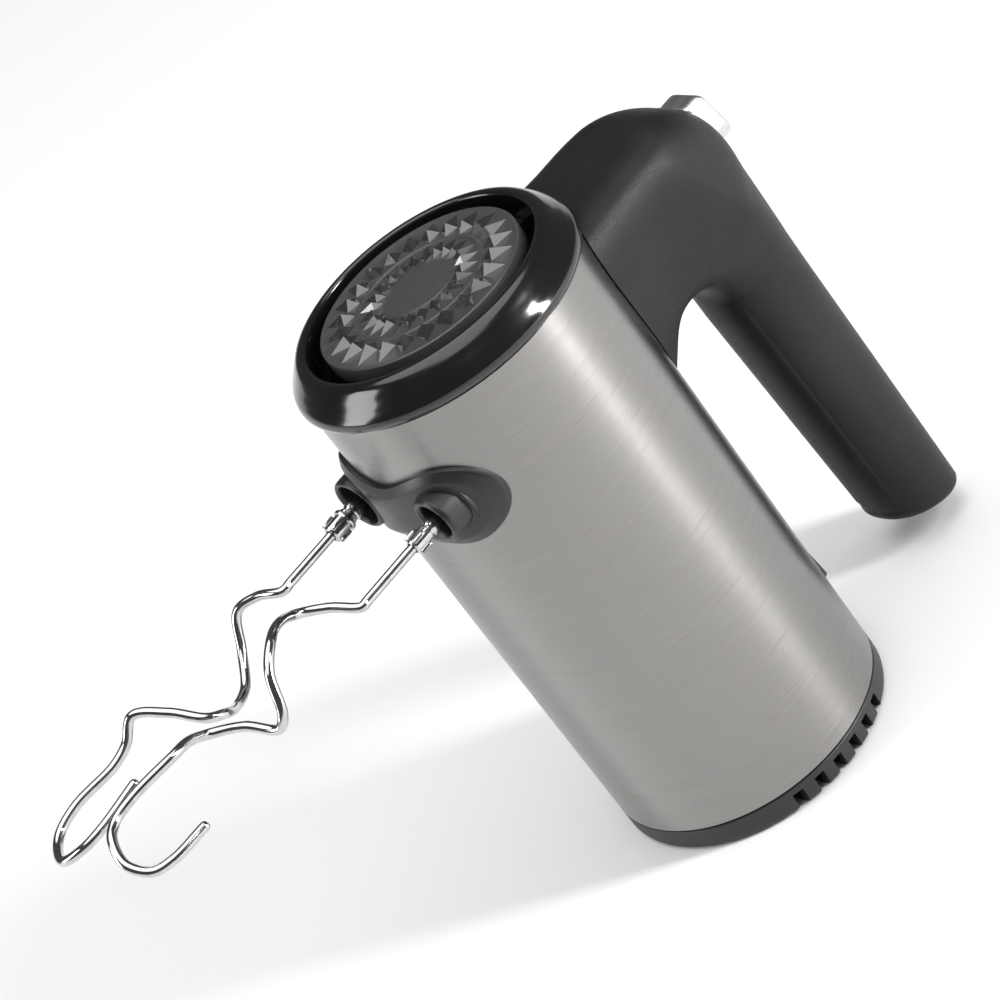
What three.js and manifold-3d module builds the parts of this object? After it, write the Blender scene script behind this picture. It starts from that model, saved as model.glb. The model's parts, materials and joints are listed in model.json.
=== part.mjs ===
// Hand mixer with a steel can body, an open-ended handle and two dough hooks, in millimetres.
// It stands on its heel: origin at the heel's centre, +Z along the body to the nose, +X to the handle,
// -X to the hooks, and the two sockets side by side along Y.
import * as THREE from "three";
import { mergeVertices } from "three/addons/utils/BufferGeometryUtils.js";
import Module from "manifold-3d";

// Driving dimensions.
const gap = 0.3; // kept between pieces that touch
const bodyRadius = 45;
const sleeveWall = 0.8;
const bodyLength = 188.4; // heel to the front of the bezel
const capDepth = 8.5;
const bezelDepth = 13;
const bezelRadius = 47;
const capDiscRadius = 32.6;
const lipRadius = 37.4;
const spigotWall = 2;
const spigotLength = 7;
const socketSpacing = 38;
const socketDrop = 43.4; // nose of the bezel to the spindles' axes
const plateThickness = 2.4;
const nearBossRadius = 7.9;
const nearBoreRadius = 5.5;
const farBossRadius = 8.8;
const farBoreRadius = 6.9;
const bossFace = 47.3; // distance of the sockets' mouths from the body's axis
const strapHalfWidth = 24;
const gripHalfWidth = 15.5;
const gripTop = 103.5;
const gripThickness = 32;
const gripEnd = 4.5; // height of the grip's open end above the heel
const throatRadius = 12.5;
const shellWall = 2.6;
const knobWidth = 15;
const knobLength = 16.5;
const speedTravel = 10;
const ejectTravel = 2.5;
const wheelTeeth = 24;
const wormPitchRadius = 4.4;
const toothAddendum = 0.9;
const toothDedendum = 1.25;
const wheelFace = 5;
const spindleRadius = 4.6;
const spindleBore = 2.75;
const shaftRadius = 2.5;
const wireRadius = 1.5;
const ferruleRadius = 2.45;
const statorRadius = 31;
const rotorRadius = 15;

// Sizes that follow from them.
const sleeveInner = bodyRadius - sleeveWall;
const sleeveBase = capDepth + gap;
const sleeveTop = bodyLength - bezelDepth - gap;
const spigotRadius = sleeveInner - gap;
const socketZ = bodyLength - socketDrop;
const socketY = socketSpacing / 2;
const wheelPitchRadius = socketY - wormPitchRadius;
const axialPitch = (2 * Math.PI * wheelPitchRadius) / wheelTeeth;
const round = 40; // sides of the large turned pieces
const strapFront = sleeveTop - 1;
const throatZ = strapFront - 62;
const clearOfBody = bodyRadius + gap;

const wasm = await Module();
wasm.setup();

// A closed geometry as a solid for cutting and joining.
function solid(geometry) {
  const bare = geometry.clone();
  bare.deleteAttribute("normal");
  bare.deleteAttribute("uv");
  const merged = mergeVertices(bare, 1e-4);
  const mesh = new wasm.Mesh({
    numProp: 3,
    vertProperties: new Float32Array(merged.attributes.position.array),
    triVerts: new Uint32Array(merged.index.array),
  });
  return new wasm.Manifold(mesh);
}

// A solid as a geometry that a mesh can show.
function geometryOf(body) {
  const mesh = body.getMesh();
  const geometry = new THREE.BufferGeometry();
  geometry.setAttribute("position", new THREE.BufferAttribute(mesh.vertProperties, 3));
  geometry.setIndex(new THREE.BufferAttribute(mesh.triVerts, 1));
  geometry.computeVertexNormals();
  return geometry;
}

const cut = (body, ...tools) => tools.reduce((rest, tool) => rest.subtract(tool), body);
const join = (body, ...others) => others.reduce((sum, other) => sum.add(other), body);

// A round bar between two heights along one axis, standing at a place on the other two.
function bar(axis, radius, low, high, [a, b] = [0, 0], segments = 18) {
  const geometry = new THREE.CylinderGeometry(radius, radius, high - low, segments);
  const middle = (low + high) / 2;
  if (axis === "x") geometry.rotateZ(-Math.PI / 2).translate(middle, a, b);
  if (axis === "y") geometry.translate(a, middle, b);
  if (axis === "z") geometry.rotateX(Math.PI / 2).translate(a, b, middle);
  return solid(geometry);
}

// A block between two corners.
function block([x0, y0, z0], [x1, y1, z1]) {
  const geometry = new THREE.BoxGeometry(x1 - x0, y1 - y0, z1 - z0);
  return solid(geometry.translate((x0 + x1) / 2, (y0 + y1) / 2, (z0 + z1) / 2));
}

// A tube about one axis.
function tube(axis, outer, inner, low, high, place, segments = 18) {
  return cut(
    bar(axis, outer, low, high, place, segments),
    bar(axis, inner, low - 1, high + 1, place, segments),
  );
}

// A profile of radius and height turned about Z; it starts and ends on the axis, or closes.
function turned(profile, segments = round) {
  const points = profile.map(([radius, height]) => new THREE.Vector2(radius, height));
  const geometry = new THREE.LatheGeometry(points, segments).rotateX(Math.PI / 2);
  const area = THREE.ShapeUtils.area(points);
  return solid(area > 0 ? geometry : flipped(geometry));
}

function flipped(geometry) {
  const index = geometry.index.array;
  for (let i = 0; i < index.length; i += 3) [index[i], index[i + 1]] = [index[i + 1], index[i]];
  return geometry;
}

// An outline carried straight along one axis: in XZ along Y, in YZ along X, in XY along Z.
function prism(axis, outline, low, high) {
  const shape = new THREE.Shape(outline.map(([a, b]) => new THREE.Vector2(a, b)));
  const geometry = new THREE.ExtrudeGeometry(shape, { depth: high - low, bevelEnabled: false });
  if (axis === "x") geometry.rotateX(Math.PI / 2).rotateZ(Math.PI / 2).translate(low, 0, 0);
  if (axis === "y") geometry.rotateX(Math.PI / 2).translate(0, high, 0);
  if (axis === "z") geometry.translate(0, 0, low);
  return solid(geometry);
}

// Points on an elliptical arc, from one angle to another in degrees.
function arc([cx, cy], [rx, ry], from, to, steps) {
  return Array.from({ length: steps + 1 }, (_, i) => {
    const angle = THREE.MathUtils.degToRad(from + ((to - from) * i) / steps);
    return [cx + rx * Math.cos(angle), cy + ry * Math.sin(angle)];
  });
}

// An outline moved inwards by a distance, each corner along the mean of its two sides' normals.
function inset(outline, distance) {
  const count = outline.length;
  return outline.map((point, i) => {
    const before = outline[(i + count - 1) % count];
    const after = outline[(i + 1) % count];
    const normals = [
      [before, point],
      [point, after],
    ].map(([from, to]) => {
      const length = Math.hypot(to[0] - from[0], to[1] - from[1]);
      return [-(to[1] - from[1]) / length, (to[0] - from[0]) / length];
    });
    const sum = [normals[0][0] + normals[1][0], normals[0][1] + normals[1][1]];
    const scale = distance / (1 + normals[0][0] * normals[1][0] + normals[0][1] * normals[1][1]);
    return [point[0] + sum[0] * scale, point[1] + sum[1] * scale];
  });
}

const mixer = new THREE.Group();

function finish(color, roughness, metalness) {
  return () => new THREE.MeshStandardMaterial({ color, roughness, metalness });
}

const steel = finish(0xa9a7a3, 0.32, 1);
const chrome = finish(0xd8d8d8, 0.08, 1);
const silver = finish(0xb9b9b8, 0.35, 1);
const glossBlack = finish(0x111112, 0.12, 0);
const satinBlack = finish(0x2a2b2c, 0.42, 0);
const softBlack = finish(0x232325, 0.62, 0);
const plainSteel = finish(0x8c8f92, 0.4, 1);
const bronze = finish(0xa87c4a, 0.4, 1);
const copper = finish(0xb4642d, 0.35, 1);
const nylon = finish(0xe6e2d4, 0.5, 0);
const carbon = finish(0x1c1c1c, 0.7, 0);
const boardGreen = finish(0x2c5a3a, 0.5, 0);

function add(name, body, material, place = [0, 0, 0]) {
  const mesh = new THREE.Mesh(geometryOf(body), material());
  mesh.name = name;
  mesh.position.set(...place);
  mixer.add(mesh);
}

// Body sleeve: a thin rolled steel tube, with windows for the sockets, the handle and the cord.
const hoodHalfWidth = 6;
const channelEnd = 20;
const handleWindow = { halfWidth: 8, low: socketZ - 2, high: socketZ + 16.5 };
const handleScrews = [socketZ - 16.5, socketZ + 19.2];
const sockets = [
  { side: "left", y: -socketY, boss: nearBossRadius, bore: nearBoreRadius },
  { side: "right", y: socketY, boss: farBossRadius, bore: farBoreRadius },
];
const sleeve = cut(
  tube("z", bodyRadius, sleeveInner, 0, sleeveTop - sleeveBase, [0, 0], round),
  ...sockets.map((s) =>
    bar("x", s.boss + gap, -60, -20, [s.y, socketZ - sleeveBase]),
  ),
  block(
    [30, -handleWindow.halfWidth, handleWindow.low - sleeveBase],
    [60, handleWindow.halfWidth, handleWindow.high - sleeveBase],
  ),
  ...handleScrews.map((z) => bar("x", 2.1, 30, 60, [0, z - sleeveBase], 12)),
  block([30, -hoodHalfWidth, -1], [60, hoodHalfWidth, channelEnd + 14 - sleeveBase]),
);
add("body_sleeve", sleeve, steel, [0, 0, sleeveBase]);

// Rear cap: a moulded heel with six slots across its rim on each side and a spigot inside the sleeve.
const slotPitch = 7.5;
const slotWidth = 3.4;
const slotInner = 16;
const heelEdge = 2.2;
const rearCap = turned([
  [0, 0],
  ...arc([bodyRadius - heelEdge, heelEdge], [heelEdge, heelEdge], -90, 0, 3),
  [bodyRadius, capDepth],
  [spigotRadius, capDepth],
  [spigotRadius, capDepth + spigotLength],
  [spigotRadius - spigotWall, capDepth + spigotLength],
  [spigotRadius - spigotWall, 2.5],
  [0, 2.5],
]);
const slots = [-1, 1].flatMap((side) =>
  Array.from({ length: 6 }, (_, i) => {
    const x = (i - 2.5) * slotPitch;
    const [y0, y1] = side > 0 ? [slotInner, 50] : [-50, -slotInner];
    return block([x - slotWidth / 2, y0, -1], [x + slotWidth / 2, y1, capDepth - 2.3]);
  }),
);
const capNotch = block([37.4, -hoodHalfWidth, -1], [60, hoodHalfWidth, 30]);
add("rear_cap", cut(rearCap, ...slots, capNotch), softBlack);

// Cord channel and hood: the insert at the rear of the sleeve that leads a cord in under a low hood.
const channelWidth = hoodHalfWidth - gap;
const cordX = 44.2;
const channel = cut(
  block([37.7, -channelWidth, 0.8], [47, channelWidth, channelEnd]),
  bar("z", 3.5, -5, 40, [cordX, 0], 20),
  block([cordX, -3.5, -5], [60, 3.5, 40]),
);
add("cord_channel", channel, glossBlack);
const hoodHeight = 5;
const hoodLow = channelEnd + gap;
const hoodOutline = [
  [38.2, hoodLow],
  [bodyRadius + hoodHeight, hoodLow],
  [bodyRadius + 0.6, 62],
  [clearOfBody, 62],
  [clearOfBody, hoodLow + 13.5],
  [38.2, hoodLow + 13.5],
];
const hood = cut(
  prism("y", hoodOutline, -channelWidth, channelWidth),
  bar("z", 3.3, hoodLow - 5, hoodLow + 10, [cordX, 0], 20),
);
add("cord_hood", hood, satinBlack);

// Front bezel: a glossy ring with a sloping round nose and a spigot in the sleeve.
const bezelBase = sleeveTop + gap;
const ledge = bodyLength - 10.4;
const crown = bodyLength - 1.1;
const bezel = turned([
  [spigotRadius, bezelBase - spigotLength],
  [spigotRadius, bezelBase],
  [bodyRadius + 0.2, bezelBase],
  [bezelRadius - 0.6, bezelBase + 0.8],
  [bezelRadius, bezelBase + 2.3],
  [bezelRadius - 0.5, bezelBase + 4],
  [bezelRadius - 2, crown - 5.7],
  [bezelRadius - 3.5, crown - 3.7],
  [bezelRadius - 4.9, crown - 2],
  [bezelRadius - 6.1, crown - 0.8],
  [bezelRadius - 7.5, crown - 0.1],
  [bezelRadius - 8.7, crown],
  [lipRadius, crown - 0.5],
  [lipRadius, ledge],
  [spigotRadius - spigotWall, ledge],
  [spigotRadius - spigotWall, bezelBase - spigotLength],
  [spigotRadius, bezelBase - spigotLength],
]);
add("front_bezel", bezel, glossBlack);

// Cap carrier: a black spider in the bezel that holds the front cap clear of it, so air passes.
const carrierRadius = spigotRadius - spigotWall - gap;
const carrierTop = ledge - gap;
const capBase = bodyLength - 6.2;
const spokes = [0, 1].map((i) => {
  const half = [i ? 3 : carrierRadius - 2, i ? carrierRadius - 2 : 3];
  return block([-half[0], -half[1], carrierTop - 3], [half[0], half[1], carrierTop]);
});
const carrier = join(
  tube("z", carrierRadius, carrierRadius - 4, carrierTop - 4, carrierTop, [0, 0], 36),
  ...spokes,
  bar("z", 10, carrierTop - 3, capBase - gap, [0, 0], 32),
);
add("cap_carrier", carrier, satinBlack);

// Front cap: a disc with a flat centre and two rings of pyramids pressed in its face.
const facets = 24;
const capFace = bodyLength - 1.4;
function capRelief() {
  const rings = [
    [capDiscRadius, -4.8, -4.8],
    [capDiscRadius, -0.5, -0.5],
    [capDiscRadius - 0.6, 0, 0],
    [30.6, -0.2, -0.2],
    [26, 1.2, -0.5],
    [21.4, -0.2, -0.2],
    [20.5, 0.1, 0.1],
    [19.6, -0.2, -0.2],
    [15.6, 1, -0.5],
    [11.8, -0.2, -0.2],
    [11.4, 0.1, 0.1],
  ];
  const around = 2 * facets;
  const points = rings.flatMap(([radius, peak, valley]) =>
    Array.from({ length: around }, (_, i) => {
      const angle = (i * 2 * Math.PI) / around;
      return [radius * Math.cos(angle), radius * Math.sin(angle), i % 2 ? valley : peak];
    }),
  );
  const faces = [];
  for (let ring = 0; ring + 1 < rings.length; ring += 1)
    for (let i = 0; i < around; i += 1) {
      const [a, b] = [ring * around + i, ring * around + ((i + 1) % around)];
      const [c, d] = [a + around, b + around];
      const even = i % 2 === 0;
      faces.push(...(even ? [a, b, c, b, d, c] : [a, b, d, a, d, c]));
    }
  const [under, top] = [points.length, points.length + 1];
  points.push([0, 0, -4.8], [0, 0, 0.1]);
  const last = (rings.length - 1) * around;
  for (let i = 0; i < around; i += 1) {
    const next = (i + 1) % around;
    faces.push(under, next, i, top, last + i, last + next);
  }
  const geometry = new THREE.BufferGeometry();
  geometry.setAttribute("position", new THREE.Float32BufferAttribute(points.flat(), 3));
  geometry.setIndex(faces);
  return solid(geometry);
}
add("front_cap", capRelief(), satinBlack, [0, 0, capFace]);

// Socket plate: a two-lobed plate bent round the sleeve, with a boss and a bore for each hook.
const lobeHeight = 13.3;
const plateEdge = 34;
const waistHeight = 10;
const plateOutline = [
  ...arc([plateEdge - lobeHeight, socketZ], [lobeHeight, lobeHeight], -115, 115, 12),
  [5, socketZ + waistHeight],
  [-5, socketZ + waistHeight],
  ...arc([lobeHeight - plateEdge, socketZ], [lobeHeight, lobeHeight], 65, 295, 12),
  [-5, socketZ - waistHeight],
  [5, socketZ - waistHeight],
];
const plateBand = tube(
  "z",
  clearOfBody + plateThickness,
  clearOfBody,
  socketZ - 20,
  socketZ + 20,
  [0, 0],
  round,
);
const socketPlate = cut(
  join(
    prism("x", plateOutline, -60, -20).intersect(plateBand),
    ...sockets.map((s) => bar("x", s.boss, -bossFace, -36, [s.y, socketZ])),
  ),
  ...sockets.map((s) => bar("x", s.bore, -60, -30, [s.y, socketZ])),
);
add("socket_plate", socketPlate, satinBlack);

// Handle shell: the front strap and the open-ended grip, moulded in one piece and hollow.
const gripBottom = gripTop - gripThickness;
const cornerX = gripTop - 25;
const throatX = gripBottom - throatRadius;
const handleSide = [
  [30, strapFront],
  [30, throatZ - 6],
  [throatX - throatRadius, throatZ - 6],
  ...arc([throatX, throatZ], [throatRadius, throatRadius], 180, 0, 10),
  [gripBottom + 6, 20],
  ...arc([gripBottom + 14, gripEnd + 9.5], [7.6, 7], 190, 262, 4),
  ...arc([gripTop - 1, gripEnd + 4], [4, 4], -85, 5, 4),
  ...arc([cornerX, strapFront - 28], [25, 28], 0, 90, 8),
];
const gripFlare = 47;
const handlePlan = [
  ...arc([0, strapFront - 6], [strapHalfWidth, 6], 0, 90, 4),
  ...arc([0, strapFront - 6], [strapHalfWidth, 6], 90, 180, 4).slice(1),
  [-strapHalfWidth + 1, strapFront - 18],
  [-18.5, strapFront - gripFlare + 4],
  [-gripHalfWidth, strapFront - gripFlare - 20],
  [-gripHalfWidth + 0.5, 14],
  ...arc([0, 14], [gripHalfWidth - 1, 13.5], 180, 360, 10),
  [gripHalfWidth - 0.5, 14],
  [gripHalfWidth, strapFront - gripFlare - 20],
  [18.5, strapFront - gripFlare + 4],
  [strapHalfWidth - 1, strapFront - 18],
];
const handleFront = [
  [26, -29],
  [40, -27],
  [72, -strapHalfWidth - 1],
  [90, -strapHalfWidth + 4],
  ...arc([gripTop - 8, 0], [12, 15.5], -75, 75, 10),
  [90, strapHalfWidth - 4],
  [72, strapHalfWidth + 1],
  [40, 27],
  [26, 29],
];
function handleBody(wall) {
  return [
    prism("y", inset(handleSide, wall), -40, 40),
    prism("x", inset(handlePlan, wall), 20, 130),
    prism("z", inset(handleFront, wall), -10, 200),
  ].reduce((a, b) => a.intersect(b));
}
const bodyRoom = bar("z", clearOfBody, -10, 250, [0, 0], round);
const bossTop = 62;
const screwRadius = 1.7;
const handleBosses = handleScrews.map((z) => bar("x", 4.5, 40, bossTop, [0, z], 16));
const frontRib = block([48, -1.2, handleScrews[1]], [bossTop - 1, 1.2, strapFront - 1]);
const screwBores = handleScrews.map((z) => bar("x", screwRadius + gap, 30, bossTop - 2, [0, z], 12));

// The knob's opening lies along the top of the handle, long enough for the knob's travel.
const knobFront = strapFront - 10.2;
const knobRear = knobFront - knobLength;
const knobOpening = block(
  [gripTop - 12, -knobWidth / 2 - gap, knobRear - speedTravel - 0.6],
  [gripTop + 10, knobWidth / 2 + gap, knobFront + gap],
);

// Underside cover: a long lid that closes the grip between the throat and the open end.
const coverHalfWidth = 5.5;
const coverThickness = 2.2;
const coverOutline = (slack) => [
  [gripBottom - 1, throatZ - 6 + slack],
  [gripBottom + coverThickness + slack, throatZ - 6 + slack],
  [gripBottom + 6 + coverThickness + slack, 20 - slack],
  [gripBottom + 4, 20 - slack],
];
const coverSlot = prism("y", coverOutline(gap), -coverHalfWidth - gap, coverHalfWidth + gap);
const handleShell = cut(
  join(cut(handleBody(0), handleBody(shellWall)), ...handleBosses, frontRib).intersect(handleBody(0)),
  bodyRoom,
  ...screwBores,
  knobOpening,
  coverSlot,
);
add("handle_shell", handleShell, softBlack);
const underCover = prism("y", coverOutline(0), -coverHalfWidth, coverHalfWidth);
add("handle_under_cover", underCover.intersect(handleBody(0)), softBlack);

// Speed and eject knob: a brushed metal cap whose top rises to the rear, on a stem in the carriage.
const knobHeight = 5;
const knobFoot = gripTop - 8.4;
const knobRise = 4;
const stemFoot = gripTop - 17.5;
const knobOutline = [
  [knobFoot, 0],
  [gripTop + knobHeight - 1.4, 0],
  [gripTop + knobHeight - 0.4, 1.2],
  [gripTop + knobHeight - knobRise, knobLength - 1.8],
  [gripTop + knobHeight - knobRise - 1.6, knobLength],
  [knobFoot, knobLength],
];
const stemHalf = [5.6, 5.4];
const knob = join(
  prism("y", knobOutline, -knobWidth / 2, knobWidth / 2),
  block(
    [stemFoot, -stemHalf[0], knobLength / 2 - stemHalf[1]],
    [knobFoot + 1, stemHalf[0], knobLength / 2 + stemHalf[1]],
  ),
);
add("speed_knob", knob, silver, [0, 0, knobRear]);

// Selector carriage: a nylon slide under the shell that the knob's stem passes through.
const carriageTop = knobFoot - gap - ejectTravel;
const carriageFoot = carriageTop - 2;
const knobMiddle = knobRear + knobLength / 2;
const carriage = cut(
  join(
    block([carriageFoot, -10, knobRear - 12], [carriageTop, 10, knobFront + 0.8]),
    block([carriageFoot, -3, knobRear - 34], [carriageTop, 3, knobRear - 11]),
  ),
  block(
    [carriageFoot - 1, -stemHalf[0] - gap, knobMiddle - stemHalf[1] - gap],
    [carriageTop + 1, stemHalf[0] + gap, knobMiddle + stemHalf[1] + gap],
  ),
);
add("selector_carriage", carriage, nylon);

// Speed switch on its board, inside the grip.
const boardX = gripBottom + 10.5;
const boardTop = boardX + 1.6;
add("switch_board", block([boardX, -10, 44], [boardTop, 10, 118]), boardGreen);
const switchTop = carriageFoot - gap;
add("speed_switch", block([boardTop + gap, -5, 94], [switchTop, 5, 114]), carbon);

// Eject rod, its flange for the return spring, and the yoke with a pin over each hook.
const rodZ = knobMiddle;
const rodRadius = 2;
const yokeLow = 20;
const yokeTop = 23;
const flangeX = 60;
const rod = join(
  bar("x", rodRadius, yokeTop + gap, stemFoot - gap, [0, rodZ], 16),
  bar("x", 3.8, flangeX, flangeX + 1.5, [0, rodZ], 16),
);
add("eject_rod", rod, plainSteel);
const hookTip = -8;
const pinFoot = hookTip + ejectTravel + 2 * gap;
const yoke = join(
  block([yokeLow, -socketY - 4, socketZ - 4], [yokeTop, socketY + 4, socketZ + 4]),
  block([yokeLow, -5, socketZ], [yokeTop, 5, rodZ + 4]),
  ...sockets.map((s) => bar("x", 2, pinFoot, yokeLow + 1, [s.y, socketZ], 12)),
);
add("ejector_yoke", yoke, plainSteel);

// Handle bracket: a curved steel strip inside the sleeve that the handle's screws pull against.
const bracketBand = tube("z", spigotRadius, spigotRadius - 1.4, socketZ - 22, sleeveTop - 9, [0, 0], round);
const bracket = cut(
  bracketBand.intersect(block([20, -13, 0], [60, 13, 200])),
  ...handleScrews.map((z) => bar("x", screwRadius + gap, 30, 60, [0, z], 12)),
  bar("x", rodRadius + gap, 30, 60, [0, rodZ], 16),
);
add("handle_bracket", bracket, plainSteel);
const headSeat = spigotRadius - 1.4 - 2 * gap;
handleScrews.forEach((z, i) => {
  const screw = join(
    bar("x", 3.2, headSeat - 2.2, headSeat - gap, [0, 0], 16),
    bar("x", screwRadius, headSeat - 1, bossTop - 3, [0, 0], 12),
  );
  add(`handle_screw_${i ? "front" : "rear"}`, screw, plainSteel, [0, 0, z]);
});

// Ejector spring: a coil round the rod between the bracket and the flange, at its pressed length.
const springRadius = 3.4;
const springWire = 0.4;
const springLow = bodyRadius - 0.2;
const springHigh = flangeX - ejectTravel - gap - springWire;
const springTurns = 5;
class Helix extends THREE.Curve {
  getPoint(t) {
    const angle = 2 * Math.PI * springTurns * t;
    const along = springLow + springWire + (springHigh - springLow - springWire) * t;
    return new THREE.Vector3(
      along,
      springRadius * Math.cos(angle),
      springRadius * Math.sin(angle),
    );
  }
}
function roundSection(radius, sides) {
  const points = Array.from({ length: sides }, (_, i) => {
    const angle = (2 * Math.PI * i) / sides;
    return new THREE.Vector2(radius * Math.cos(angle), radius * Math.sin(angle));
  });
  return new THREE.Shape(points);
}
const springShape = new THREE.ExtrudeGeometry(roundSection(springWire, 4), {
  steps: springTurns * 9,
  extrudePath: new Helix(),
  bevelEnabled: false,
});
add("ejector_spring", solid(springShape), plainSteel, [0, 0, rodZ]);

// Gear frame: a base by the sockets and a bridge over the wheels, joined by four pillars and screws.
const baseLow = -33;
const baseHigh = -29.5;
const bridgeLow = 8;
const bridgeHigh = 11;
const frameHalf = wheelPitchRadius + 8.4;
const frameSide = socketY + 9;
const bushOuter = 6;
const bushBore = spindleRadius + 0.08;
const pillarY = socketY + 5;
const pillarZ = wheelPitchRadius + 4.9;
const pillars = [-1, 1].flatMap((a) => [-1, 1].map((b) => [a * pillarY, socketZ + b * pillarZ]));
const plateWithBushHoles = (low, high) =>
  cut(
    block([low, -frameSide, socketZ - frameHalf], [high, frameSide, socketZ + frameHalf]),
    ...sockets.map((s) => bar("x", bushOuter + gap, low - 1, high + 1, [s.y, socketZ])),
  );
const gearBase = join(
  plateWithBushHoles(baseLow, baseHigh),
  ...pillars.map((p) => bar("x", 3, baseHigh - 1, bridgeLow - gap, p, 12)),
);
const screwRoom = pillars.map((p) => bar("x", 1.3 + gap, -6, bridgeHigh + 5, p, 10));
add("gear_base", cut(gearBase, ...screwRoom), nylon);
add("gear_bridge", cut(plateWithBushHoles(bridgeLow, bridgeHigh), ...screwRoom), plainSteel);
pillars.forEach((p, i) => {
  const screw = join(
    bar("x", 2.6, gap, 2, [0, 0], 12),
    bar("x", 1.3, -12, 1, [0, 0], 10),
  );
  add(`gear_screw_${i + 1}`, screw, plainSteel, [bridgeHigh, ...p]);
});

// Each spindle: two bushes, a hollow shaft and a worm wheel with its teeth twisted to suit the worm.
const leadTan = axialPitch / (2 * Math.PI * wormPitchRadius);
function wormWheel(phase) {
  const tooth = [
    [-0.29, wheelPitchRadius - toothDedendum],
    [-0.16, wheelPitchRadius + toothAddendum],
    [0.16, wheelPitchRadius + toothAddendum],
    [0.29, wheelPitchRadius - toothDedendum],
  ];
  const outline = Array.from({ length: wheelTeeth }, (_, i) =>
    tooth.map(([share, radius]) => {
      const angle = ((i + share + phase) * 2 * Math.PI) / wheelTeeth;
      return [radius * Math.cos(angle), radius * Math.sin(angle)];
    }),
  ).flat();
  const wheel = cut(
    prism("x", outline, -wheelFace / 2, wheelFace / 2),
    bar("x", spindleRadius + gap, -10, 10),
  );
  return wheel.warp((v) => {
    const turn = (leadTan * v[0]) / wheelPitchRadius;
    const [y, z] = [v[1], v[2]];
    v[1] = y * Math.cos(turn) - z * Math.sin(turn);
    v[2] = y * Math.sin(turn) + z * Math.cos(turn);
  });
}
const spindleLow = -36;
const spindleHigh = 13;
sockets.forEach((s) => {
  const place = [0, s.y, socketZ];
  const bush = (low, high, flangeAt) =>
    cut(
      join(
        bar("x", bushOuter, low, high, [0, 0], 16),
        bar("x", bushOuter + 1.4, flangeAt, flangeAt + 1, [0, 0], 16),
      ),
      bar("x", bushBore, low - 2, high + 2),
    );
  add(`lower_bush_${s.side}`, bush(baseLow, baseHigh + 1.3, baseHigh + gap), bronze, place);
  add(`upper_bush_${s.side}`, bush(bridgeLow - 1.3, bridgeHigh, bridgeLow - gap - 1), bronze, place);
  const spindle = tube("x", spindleRadius, spindleBore, spindleLow, spindleHigh);
  add(`drive_spindle_${s.side}`, spindle, plainSteel, place);
  add(`worm_wheel_${s.side}`, wormWheel(s.side === "left" ? 0 : 0.5), nylon, place);
});

// Rotor: shaft, worm, laminated core, commutator and fan, turning as one.
const wormLow = socketZ - 14;
const wormHigh = socketZ + 14;
const neckRadius = 1.9;
const shaft = join(
  bar("z", shaftRadius, wormLow - 105, wormLow - 3, [0, 0], 20),
  bar("z", neckRadius, wormLow - 4, wormHigh + 12, [0, 0], 16),
);
add("rotor_shaft", shaft, plainSteel);
function worm() {
  const around = 16;
  const root = wormPitchRadius - toothDedendum;
  const crest = wormPitchRadius + toothAddendum;
  const thread = [
    [-0.3, root],
    [-0.13, crest],
    [0.13, crest],
    [0.3, root],
  ];
  const turns = Math.ceil((wormHigh - wormLow) / axialPitch) + 2;
  const rows = Array.from({ length: turns }, (_, k) =>
    thread.map(([share, radius]) => [(k - Math.floor(turns / 2) + share) * axialPitch, radius]),
  ).flat();
  const points = rows.flatMap(([along, radius]) =>
    Array.from({ length: around }, (_, i) => {
      const angle = (2 * Math.PI * i) / around;
      const z = along + axialPitch * (i / around - 0.25);
      return [radius * Math.cos(angle), radius * Math.sin(angle), z];
    }),
  );
  // One turn round the worm climbs one pitch, so the last column joins the first one a turn higher.
  const at = (row, i) => (i < around ? row * around + i : (row + thread.length) * around);
  const foot = points.push([0, 0, points[0][2] - axialPitch]) - 1;
  const head = points.push([0, 0, points[foot - 1][2] + axialPitch]) - 1;
  const last = rows.length - 1;
  const faces = [];
  for (let i = 0; i < around; i += 1) {
    const top = i + 1 < around ? last : last - thread.length;
    for (let row = 0; row < top; row += 1) {
      const [a, b, c, d] = [at(row, i), at(row, i + 1), at(row + 1, i), at(row + 1, i + 1)];
      faces.push(a, b, d, a, d, c);
    }
    faces.push(at(0, i + 1), at(0, i), foot);
    faces.push(at(top, i), at(top, i + 1), head);
  }
  for (let row = 0; row < thread.length; row += 1) {
    faces.push(at(row, 0), at(row + 1, 0), foot);
    const high = last - row;
    faces.push(at(high, around - 1), at(high - 1, around - 1), head);
  }
  const geometry = new THREE.BufferGeometry();
  geometry.setAttribute("position", new THREE.Float32BufferAttribute(points.flat(), 3));
  geometry.setIndex(faces);
  return solid(geometry);
}
const wormBody = cut(
  worm().intersect(block([-8, -8, wormLow - socketZ], [8, 8, wormHigh - socketZ])),
  bar("z", neckRadius + gap, -50, 50, [0, 0], 16),
);
add("drive_worm", wormBody, plainSteel, [0, 0, socketZ]);
const coreHigh = wormLow - 33;
const coreLow = coreHigh - 32;
const rotorSlots = 10;
const coreSlots = Array.from({ length: rotorSlots }, (_, i) => {
  const angle = (2 * Math.PI * i) / rotorSlots;
  const place = [(rotorRadius - 3) * Math.cos(angle), (rotorRadius - 3) * Math.sin(angle)];
  return bar("z", 1.9, coreLow - 1, coreHigh + 1, place, 6);
});
add(
  "rotor_core",
  cut(tube("z", rotorRadius, shaftRadius + gap, coreLow, coreHigh, [0, 0], 30), ...coreSlots),
  plainSteel,
);
const windingRadius = rotorRadius - 1.5;
const winding = (low, high) => tube("z", windingRadius, shaftRadius + gap, low, high);
add("rotor_winding_rear", winding(coreLow - 9, coreLow - gap), copper);
add("rotor_winding_front", winding(coreHigh + gap, coreHigh + 7), copper);
const commutatorRadius = 9;
const commutatorHigh = coreLow - 14;
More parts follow.
